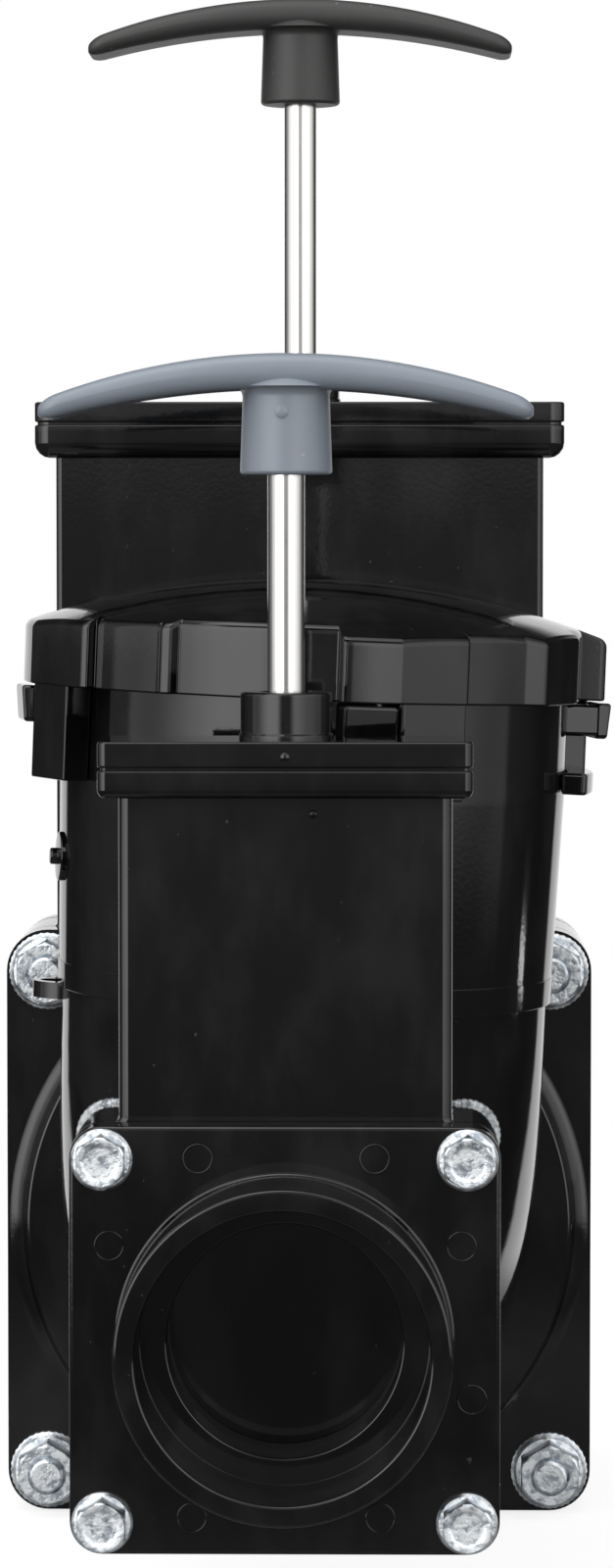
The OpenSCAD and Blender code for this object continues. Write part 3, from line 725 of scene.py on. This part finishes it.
def bolt(valve, i):
    """A washer-head screw: hexagon with a dished top, and its threaded end."""
    x, z = valve.bolt[i - 1].x, valve.bolt[i - 1].z
    low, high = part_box(f"{valve.side}_bolt_{i}")
    out = valve.out
    face = valve.plate_back + out * valve.plate_t
    build = Builder((x, face, z), (-out * X, Z, out * Y))
    tip = abs((low.y if out < 0 else high.y) - face)
    tail = -abs((high.y if out < 0 else low.y) - face)
    washer_r = (high.x - low.x) / 2
    width = SCREW_FLATS * valve.bolt_r
    corner = width / 2 / math.cos(math.pi / 6)
    dish = width * 0.36
    washer = [(washer_r - 0.25 * MM, 0), (washer_r, 0.25 * MM), (washer_r, 0.75 * MM),
              (washer_r - 0.2 * MM, 1.0 * MM), (corner + 0.15 * MM, 1.25 * MM)]
    rings = [build.ring(ring_of(r, HEX_SPOKES), d) for r, d in washer]
    shoulder = tip - 0.2 * width
    head = [(UNCUT, 1.35 * MM), (UNCUT, shoulder), (corner * 0.975, shoulder + 0.35 * MM),
            (corner * 0.92, tip - 0.22 * MM), (corner * 0.86, tip - 0.02 * MM), (dish + 0.35 * MM, tip),
            (dish, tip - 0.12 * MM)]
    rings += [build.ring(hexagon(width, limit), d) for limit, d in head]
    dished = [(dish * 0.95, tip - 0.19 * MM), (dish * 0.86, tip - 0.22 * MM), (dish * 0.5, tip - 0.23 * MM),
              (dish * 0.1, tip - 0.23 * MM)]
    rings += [build.ring(ring_of(r, HEX_SPOKES), d) for r, d in dished]
    build.close(build.skin(rings))
    thread = [(valve.bolt_r, 0.3 * MM)] + [(r, -d) for r, d in threads(valve.bolt_r, 0.7 * -tail, -tail)]
    build.close(build.lathe(thread, 40))
    add_piece(f"{valve.side}_screw_{i}", build, "zinc", "valve", f"{valve.side}_bolt_{i}")


def nut(valve, i):
    """A flange nut: toothed flange, chamfered hexagon, bored for its screw."""
    low, high = valve.nut[i - 1]
    out = valve.out
    seat = high.y if out > 0 else low.y
    build = Builder(((low.x + high.x) / 2, seat, (low.z + high.z) / 2), (out * X, Z, -out * Y))
    height = high.y - low.y
    flange_r = (high.x - low.x) / 2
    width = NUT_FLATS * valve.bolt_r
    corner = width / 2 / math.cos(math.pi / 6)
    bore = valve.bolt_r + NUT_PLAY

    def toothed(r):
        return [p * (1 - TOOTH * (k % 2)) for k, p in enumerate(ring_of(r, 2 * TEETH))]

    rings = [build.ring(ring_of(bore, 2 * TEETH), 0), build.ring(toothed(flange_r - 0.1 * MM), 0),
             build.ring(toothed(flange_r), 0.2 * MM), build.ring(toothed(flange_r), 0.9 * MM),
             build.ring(ring_of(flange_r - 0.5 * MM, 2 * TEETH), 1.15 * MM),
             build.ring(ring_of(corner + 0.1 * MM, 2 * TEETH), 1.9 * MM)]
    for limit, depth in ((UNCUT, 2.0 * MM), (UNCUT, height - 1.0 * MM), (corner * 0.96, height - 0.6 * MM),
                         (corner * 0.9, height - 0.2 * MM), (corner * 0.855, height)):
        rings.append(build.ring(hexagon(width, limit, 2 * TEETH), depth))
    rings.append(build.ring(ring_of(bore + 0.55 * MM, 2 * TEETH), height - 0.02 * MM))
    rings.append(build.ring(ring_of(bore, 2 * TEETH), height - 0.55 * MM))
    build.skin(rings)
    build.join(rings[-1], rings[0])
    add_piece(f"{valve.side}_flange_nut_{i}", build, "zinc", "valve", f"{valve.side}_nut_{i}")


# Twist cap

turn_joint = next(j for j in frame["joints"] if j["name"] == "cap_turn")
CAP_UP = Vector(turn_joint["axis"]).normalized()
CAP_AXES = (Y.cross(CAP_UP), Y, CAP_UP)
CAP_FOOT = Vector((0, turn_joint["pos_m"][1], 0))
LUG_TURN = 11
HOOK_TURNS = [LUG_TURN - 90 + 90 * k for k in range(4)]
LUG_HALF = 5.83
HOOK_RIDGE = 5.8
HOOK_MID = 13.33
HOOK_END = 20.83
STEP_END = 26.2
GROOVE_END = 29.9
PANEL_END = 46
RAMP_START, RAMP_END = 36.4, 40.3
RIB_END = 60
LIP_LEAD = 26
CAP_IN_R = 46.75 * MM
SKIRT_R = 48.35 * MM
GROOVE_R = 49.3 * MM
PANEL_R = 50.55 * MM
RIB_R, RIB_END_R = 52.7 * MM, 50.2 * MM
HOOK_R = 53.6 * MM
HOOK_END_R = 52 * MM
LIP_R = 51.4 * MM
SKIRT_Z = 105.5 * MM
CAP_FLOOR_Z = 114.3 * MM
DOME_RIM_Z = 118.4 * MM
DOME_H = 7.6 * MM
DOME_R = (SKIRT_R ** 2 + DOME_H ** 2) / (2 * DOME_H)
HOOK_Z = 88.7 * MM
LIP_TOP_Z = 92.9 * MM
CAP_EDGE = 1.2 * MM
SKIRT_EDGE = ((0.4 * MM, 0), (0.12 * MM, 0.12 * MM), (0, 0.4 * MM))
DOME_RINGS = (46.4, 44, 40, 35, 29, 22, 14, 6)
ARM_EDGE, ARM_TOP_EDGE, ARM_SINK = 0.35 * MM, 0.02 * MM, 0.5 * MM
LIP_EDGE, LIP_RISE = 0.6 * MM, 0.25 * MM


def polar(r, degrees):
    """A point by its radius and angle."""
    return r * math.cos(math.radians(degrees)), r * math.sin(math.radians(degrees))


def arc(r, start, end, radius=0.0, end_radius=0.0):
    """Corners along a circle from one angle to the other, the first and last to be rounded."""
    count = max(2, round(abs(end - start) / 2.5))
    points = [(*polar(r, start + (end - start) * k / count), 0.0) for k in range(count + 1)]
    points[0] = (*points[0][:2], radius)
    points[-1] = (*points[-1][:2], end_radius)
    return points


def drawn_in(line, inset):
    """The closed line, moved inwards along its normals."""
    moved = []
    for i, here in enumerate(line):
        ahead = line[(i + 1) % len(line)] - line[i - 1]
        moved.append(here + Vector((-ahead.y, ahead.x)).normalized() * inset)
    return moved


def filled_in(line, step=2.5):
    """The closed line, with points added where two neighbours stand further apart than step degrees."""
    filled = []
    for here, ahead in zip(line, line[1:] + line[:1]):
        count = max(1, math.ceil(math.degrees(here.angle(ahead)) / step))
        filled += [here.lerp(ahead, k / count) for k in range(count)]
    return filled


def shrinking(corners):
    """The closed line through corners, as a function of how far it is drawn in."""
    line = rounded(corners)
    return lambda inset: drawn_in(line, inset)


def stepped_grip(base):
    """The skirt's outline after a hook: a block, a groove, a panel with a bead, and the bare skirt."""
    bead = [(50.1, 46.3, 0.2), (50.8, 46.9, 0.8), (50.3, 49, 0.6)]
    return (arc(HOOK_END_R, base + HOOK_END, base + STEP_END, 0, 0.9 * MM)
            + [(*polar(HOOK_END_R - 0.73 * MM, base + STEP_END + 1.2), 0.6 * MM)]
            + arc(GROOVE_R, base + STEP_END + 0.4, base + GROOVE_END, 0.3 * MM, 0.2 * MM)
            + [(*polar(PANEL_R + 0.4 * MM, base + GROOVE_END - 0.3), 0.2 * MM)]
            + arc(PANEL_R, base + GROOVE_END + 1.3, base + PANEL_END, 0.4 * MM)
            + [(*polar(r * MM, base + angle), radius * MM) for r, angle, radius in bead]
            + arc(SKIRT_R, base + PANEL_END + 3.6, base + 90 - LUG_HALF, 0.4 * MM)[:-1])


def ramped_grip(base):
    """The skirt's outline after a hook: a panel, a ramp up to a rib, and the bare skirt."""
    return ([(*polar(HOOK_END_R, base + HOOK_END), MM)]
            + arc(PANEL_R, base + HOOK_END + 0.3, base + RAMP_START, 0.3 * MM, MM)
            + [(*polar(RIB_R, base + RAMP_END), 1.2 * MM), (*polar(RIB_END_R, base + RIB_END), MM)]
            + arc(SKIRT_R, base + RIB_END + 0.6, base + 90 - LUG_HALF, 0.4 * MM)[:-1])


def cap_line():
    """The cap's outline: four hooks with a grip after each."""
    corners = []
    for base, grip in zip(HOOK_TURNS, (ramped_grip, stepped_grip) * 2):
        corners.append((*polar(SKIRT_R, base - LUG_HALF), 0.5 * MM))
        corners += arc(HOOK_R, base - LUG_HALF, base + HOOK_RIDGE, 1.3 * MM, 1.5 * MM)
        corners += grip(base)
    return filled_in(rounded(corners, 4))


def dome_z(r):
    """The dome's height over a circle of radius r."""
    return DOME_RIM_Z + DOME_H - DOME_R + math.sqrt(DOME_R ** 2 - r ** 2)


def twist_cap():
    """The domed cap with its skirt, grip ribs, hooks and lips."""
    build = Builder(CAP_FOOT, CAP_AXES)
    line = cap_line()
    rings = [build.ring(drawn_in(line, inset), SKIRT_Z + rise) for inset, rise in SKIRT_EDGE]
    for k in range(7):
        t = math.pi / 2 * k / 6
        shape = [p - p.normalized() * CAP_EDGE * (1 - math.cos(t)) for p in line]
        drop = CAP_EDGE * (1 - math.sin(t))
        rings.append(build.point_ring([(p.x, p.y, dome_z(p.length) - drop) for p in shape]))
    for r in DOME_RINGS:
        rings.append(build.ring([p.normalized() * r * MM for p in line], dome_z(r * MM)))
    build.skin(rings)
    build.cap(rings[-1])
    inner = ring_of(CAP_IN_R, 120)
    wall = build.skin([build.ring(inner, SKIRT_Z), build.ring(inner, CAP_FLOOR_Z)])
    build.cap(rings[0], wall[0])
    build.cap(wall[1])
    for base in HOOK_TURNS:
        arm = [(*polar(HOOK_R - 0.35 * MM, base + LUG_HALF), 0.8 * MM),
               (*polar(HOOK_END_R - 0.3 * MM, base + HOOK_END - 0.4), 0.4 * MM)]
        arm += arc(CAP_IN_R, base + HOOK_END - 0.4, base + LUG_HALF, 0.3 * MM, 0.3 * MM)
        build.close(build.slab(shrinking(arm), HOOK_Z, SKIRT_Z + ARM_SINK, ARM_EDGE, ARM_TOP_EDGE))
        lip = arc(LIP_R, base - LIP_LEAD, base + HOOK_MID, 0.9 * MM)
        lip += arc(CAP_IN_R, base + HOOK_MID, base - LIP_LEAD, 0, 0.5 * MM)
        build.close(build.slab(shrinking(lip), HOOK_Z + LIP_RISE, LIP_TOP_Z, LIP_EDGE, LIP_EDGE))
    add_piece("twist_cap_shell", build, "black_plastic", "twist_cap", "bayonet_cap")


# Elbow trim

ELBOW_EDGE = 0.6 * MM
ELBOW_FLANGE_T = 8 * MM
ELBOW_FACE_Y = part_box("outlet_elbow")[1].y - ELBOW_FLANGE_T
COLLAR_R = 53.2 * MM
COLLAR_FOOT_R = 56.6 * MM
COLLAR_IN_R = 43.6 * MM
COLLAR_H = 5.1 * MM
COLLAR_SINK, COLLAR_SKIN = 0.4 * MM, 0.08 * MM
SOCKET_RIM_R, SOCKET_RIM_IN_R = 45.35 * MM, 42.5 * MM
SOCKET_RIM_FOOT_Z, SOCKET_RIM_TOP_Z = 50.2 * MM, 55 * MM


def flange_collar():
    """The round collar on the large flange, with a wide cove at its foot."""
    build = Builder((0, ELBOW_FACE_Y, 0), (X, Z, -Y))
    cove = COLLAR_FOOT_R - COLLAR_R
    line = rounded([
        (COLLAR_IN_R, -COLLAR_SINK, 0), (COLLAR_FOOT_R, -COLLAR_SINK, 0), (COLLAR_FOOT_R, COLLAR_SKIN, 0),
        (COLLAR_R, COLLAR_SKIN, cove * 0.98), (COLLAR_R, COLLAR_H, 0.9 * MM),
        (COLLAR_IN_R, COLLAR_H + 0.2 * MM, 0),
    ], 8)
    build.lathe_ring(line, 160)
    add_piece("flange_collar", build, "black_plastic", "valve")


def outlet_socket_rim():
    """The glued rim where the outlet tube meets the elbow."""
    build = Builder(CAP_FOOT, CAP_AXES)
    line = rounded([
        (SOCKET_RIM_IN_R, SOCKET_RIM_FOOT_Z, 0), (SOCKET_RIM_R, SOCKET_RIM_FOOT_Z, 0.15 * MM),
        (SOCKET_RIM_R + 0.14 * MM, SOCKET_RIM_TOP_Z, 0.1 * MM), (SOCKET_RIM_IN_R, SOCKET_RIM_TOP_Z, 0),
    ], 4)
    build.lathe_ring(line, 144)
    add_piece("outlet_socket_rim", build, "black_plastic", "valve")


# Outlet tube

TUBE_FOOT_Z, TUBE_STRAIGHT_Z, TUBE_RIM_Z = 54 * MM, 88.3 * MM, 111 * MM
TUBE_FOOT_R, TUBE_R, TUBE_WALL = 45.25 * MM, 46.25 * MM, 4 * MM
SPIGOT_R, SPIGOT_IN_R, SPIGOT_LEN = 41.7 * MM, 39.5 * MM, 8 * MM
LUG_Z = 101.8 * MM
LUG_R = 54.2 * MM
LUG_HEAD_T = 2 * MM
LUG_W, LUG_H, LUG_CORNER = 9.6 * MM, 6.6 * MM, 0.8 * MM
LUG_NECK = 0.4 * MM
LUG_DRAFT = 0.6 * MM
LUG_BACK_EDGE = ((0.2 * MM, 0), (0, 0.2 * MM))
LUG_END_EDGE = ((0, -0.25 * MM), (0.15 * MM, 0.05 * MM), (0.32 * MM, 0.17 * MM), (0.6 * MM, 0.25 * MM))
BUTTON_Z = 74 * MM
BUTTON_TURN = 191
BUTTON_R, BUTTON_NUB_R, BUTTON_NUB_H = 4.5 * MM, 1.5 * MM, 1.8 * MM
BUTTON_MIDDLE_R = 0.1 * MM


def facing_out(build, degrees, height):
    """Turns the builder so that its depth runs out from the tube's axis."""
    side, ahead, up = CAP_AXES
    angle = math.radians(degrees)
    out = side * math.cos(angle) + ahead * math.sin(angle)
    across = ahead * math.cos(angle) - side * math.sin(angle)
    build.set_frame(CAP_FOOT + up * height, (across, up, out))


def bayonet_lug(build):
    """A lug with a head, whose end face is drafted."""
    neck = rectangle(LUG_W - 2 * LUG_NECK, LUG_H - 2 * LUG_NECK, LUG_CORNER)
    rings = [build.ring(neck, TUBE_R - TUBE_WALL / 2), build.ring(neck, LUG_R - LUG_HEAD_T)]
    head = rectangle(LUG_W, LUG_H, LUG_CORNER)
    for inset, depth in LUG_BACK_EDGE:
        rings.append(build.ring(drawn_in(head, inset), LUG_R - LUG_HEAD_T + depth))
    for inset, depth in LUG_END_EDGE:
        shape = drawn_in(head, inset)
        rings.append(build.point_ring([(p.x, p.y, LUG_R + depth + LUG_DRAFT * p.y / LUG_H) for p in shape]))
    build.close(build.skin(rings))


def bayonet_tube():
    """The outlet tube with its spigot, four lugs and a moulded button."""
    build = Builder(CAP_FOOT, CAP_AXES)
    spigot_z = TUBE_FOOT_Z - SPIGOT_LEN
    line = rounded([
        (SPIGOT_IN_R, spigot_z, 0), (SPIGOT_R, spigot_z, 0.2 * MM), (SPIGOT_R, TUBE_FOOT_Z, 0),
        (TUBE_FOOT_R, TUBE_FOOT_Z, 0), (TUBE_R, TUBE_STRAIGHT_Z, 60 * MM), (TUBE_R, TUBE_RIM_Z, 0.5 * MM),
        (TUBE_R - TUBE_WALL, TUBE_RIM_Z, 0.5 * MM), (TUBE_R - TUBE_WALL, TUBE_STRAIGHT_Z, 0),
        (SPIGOT_IN_R, TUBE_FOOT_Z, 0),
    ])
    build.lathe_ring(line, 180)
    for turn in HOOK_TURNS:
        facing_out(build, turn, LUG_Z)
        bayonet_lug(build)
    facing_out(build, BUTTON_TURN, BUTTON_Z)
    root, top = TUBE_R - TUBE_WALL / 2, TUBE_R + BUTTON_NUB_H
    button = rounded_path([
        (BUTTON_MIDDLE_R, root, 0), (BUTTON_R, root, 0), (BUTTON_R, TUBE_R + 0.3 * MM, 0.3 * MM),
        (BUTTON_NUB_R, TUBE_R + 0.45 * MM, 0.2 * MM), (BUTTON_NUB_R, top, 0.4 * MM), (BUTTON_MIDDLE_R, top, 0),
    ])
    build.close(build.lathe(button, 48))
    add_piece("bayonet_tube", build, "black_plastic", "valve", "bayonet_outlet")


# The pieces

for valve in VALVES:
    hub_plate(valve)
    bonnet_lid(valve)
    gland_collar(valve)
    for number in (1, 2, 3, 4):
        bolt(valve, number)
        nut(valve, number)
pull_handle(FRONT, "grey_plastic", "front_gate")
pull_handle(REAR, "dark_plastic", "rear_gate")
twist_cap()
flange_collar()
outlet_socket_rim()
bayonet_tube()
bonnet_dot()

for valve in VALVES:
    for part in ("blade", "rod", "outer_seal", "inner_seal"):
        dress(f"{valve.side}_{part}")
    bonnet = valve.bonnet_w / 2, valve.plate_w / 2 - MM, valve.upright_edge
    dress(f"{valve.side}_valve_body", valve.body_edge, bonnet)
dress("cap_gasket")
dress("outlet_elbow", ELBOW_EDGE)


# Stage, light and camera

PHOTO_H = 1600
FOCAL_PX = 5049
SENSOR = 36.0
EYE = Vector((16.2, -1026.8, 137.3)) * MM
YAW = 0.0152
PITCH = 0.0539


def camera():
    """The photo's view."""
    data = bpy.data.cameras.new("photo_camera")
    data.sensor_fit = "VERTICAL"
    data.sensor_height = SENSOR
    data.lens = FOCAL_PX / PHOTO_H * SENSOR
    data.clip_end = 20
    obj = bpy.data.objects.new("photo_camera", data)
    obj.location = EYE
    obj.rotation_euler = (math.pi / 2 - PITCH, 0, YAW)
    bpy.context.scene.collection.objects.link(obj)
    bpy.context.scene.camera = obj


FLOOR_Z = cad_box[0].z - 0.4 * MM
FLOOR_MIDDLE = Vector((0, 0.05))
FLOOR_R = 0.5
FLOOR_FADE = 0.16
FLOOR_SIDES = 0.09, 0.13
FLOOR_TONE = rgb(0.3, 0.3, 0.3)
FLOOR_LIGHT, FLOOR_MIRRORED = 0.82, 0.08


def floor():
    """A pale floor that fades out round the object. At the sides, mirrored rays pass through it."""
    mesh = bpy.data.meshes.new("floor")
    corners = [(FLOOR_MIDDLE.x + FLOOR_R * sx, FLOOR_MIDDLE.y + FLOOR_R * sy, FLOOR_Z)
               for sx, sy in ((-1, -1), (1, -1), (1, 1), (-1, 1))]
    mesh.from_pydata(corners, [], [(0, 1, 2, 3)])
    obj = bpy.data.objects.new("floor", mesh)
    bpy.context.scene.collection.objects.link(obj)
    recipe = finish("pale_floor")
    seen = recipe.node("ShaderNodeLightPath", output="Is Camera Ray")
    mirrored = recipe.node("ShaderNodeLightPath", output="Is Glossy Ray")
    through = recipe.node("ShaderNodeLightPath", output="Is Transmission Ray")
    pale = recipe.node("ShaderNodeBsdfDiffuse", None, {"Color": FLOOR_TONE})
    glow = recipe.node("ShaderNodeEmission", None,
                       {"Color": (seen + mirrored * FLOOR_MIRRORED + through) * FLOOR_LIGHT, "Strength": 1.0})
    both = recipe.node("ShaderNodeAddShader", None, {0: pale, 1: glow})
    out_of_middle = recipe.node("ShaderNodeVectorMath", {"operation": "DISTANCE"},
                                {0: recipe.place(), 1: (FLOOR_MIDDLE.x, FLOOR_MIDDLE.y, FLOOR_Z)}, "Value")
    fade = out_of_middle.between(FLOOR_FADE, FLOOR_R * 0.98)
    across = recipe.split(recipe.place())[0]
    aside = across.math("ABSOLUTE", across).between(*FLOOR_SIDES)
    clear = recipe.node("ShaderNodeBsdfTransparent")
    surface = recipe.node("ShaderNodeMixShader", None,
                          {0: fade + (1 - fade) * mirrored * aside, 1: both, 2: clear})
    recipe.node("ShaderNodeOutputMaterial", None, {"Surface": surface})
    mesh.materials.append(recipe.owner)


BOX_HEIGHT = (-0.17, -0.12), (0.62, 0.78)
BACKDROP_HEIGHT = (-0.5, -0.35), (0.24, 0.36)
STRIP_HEIGHT = (-0.156, -0.153), (-0.1455, -0.1425)
LEFT_BOX_LIGHT, RIGHT_BOX_LESS = 2.8, 0.85
BACKDROP_LIGHT, TOP_LIGHT, STRIP_LIGHT, DARK_LIGHT = 0.97, 1.1, 5, 0.03


def room():
    """White behind, a tall soft box at each side of the camera, light above, a thin strip lamp at the right."""
    world = bpy.data.worlds.new("studio")
    bpy.context.scene.world = world
    recipe = Recipe(world)
    x, y, z = recipe.split(recipe.node("ShaderNodeTexCoord", output="Generated"))
    turn = x.math("ARCTAN2", x.math("ABSOLUTE", x), -1 * y)
    right = x.between(-0.05, 0.05)

    def turned(low, high, angle=turn):
        """Rises as a direction turns away from the camera, by angles in degrees."""
        return angle.between(math.radians(low), math.radians(high))

    left_fall = 0.8 * turned(40, 80)
    right_fall = 0.5 * turned(25, 60) + 0.3 * turned(60, 90)
    falling = 1 - right * right_fall - (1 - right) * left_fall
    far_edge = 1 - turned(89.5, 94, turn - 0.12 * right)
    box_light = LEFT_BOX_LIGHT - RIGHT_BOX_LESS * right
    boxes = turned(8, 25) * falling * far_edge * z.band(*BOX_HEIGHT) * box_light
    low = 1 - z.between(-0.28, -0.12)
    backdrop = turned(148, 152, turn + 0.09 * low) * z.band(*BACKDROP_HEIGHT)
    above = z.between(0.84, 0.94)
    haze = 0.08 + 0.15 * z.between(-0.17, -0.05) + 0.3 * z.between(0, 0.02)
    in_front = 1 - turned(89, 138, turn + 0.1 * right)
    strip = turned(117.5, 119) * (1 - turned(122, 123.5)) * z.band(*STRIP_HEIGHT) * right
    light = (DARK_LIGHT + haze * in_front + boxes + backdrop * BACKDROP_LIGHT + above * TOP_LIGHT
             + strip * STRIP_LIGHT)
    seen = recipe.node("ShaderNodeLightPath", output="Is Camera Ray")
    level = seen + (1 - seen) * light
    background = recipe.node("ShaderNodeBackground", None, {"Color": level, "Strength": 1.0})
    recipe.node("ShaderNodeOutputWorld", None, {"Surface": background})


LAMP_PLACE, LAMP_AIM = Vector((-0.25, -0.45, 1.1)), Vector((0, -0.12, 0.05))
LAMP_SIDE, LAMP_POWER = 0.7, 2.5


def top_lamp():
    """A soft lamp above, a little to the left and in front."""
    data = bpy.data.lights.new("top_lamp", "AREA")
    data.size = LAMP_SIDE
    data.energy = LAMP_POWER
    obj = bpy.data.objects.new("top_lamp", data)
    obj.location = LAMP_PLACE
    obj.rotation_euler = (LAMP_AIM - LAMP_PLACE).to_track_quat("-Z", "Y").to_euler()
    bpy.context.scene.collection.objects.link(obj)


camera()
floor()
room()
top_lamp()

bpy.context.scene.view_settings.view_transform = "Standard"
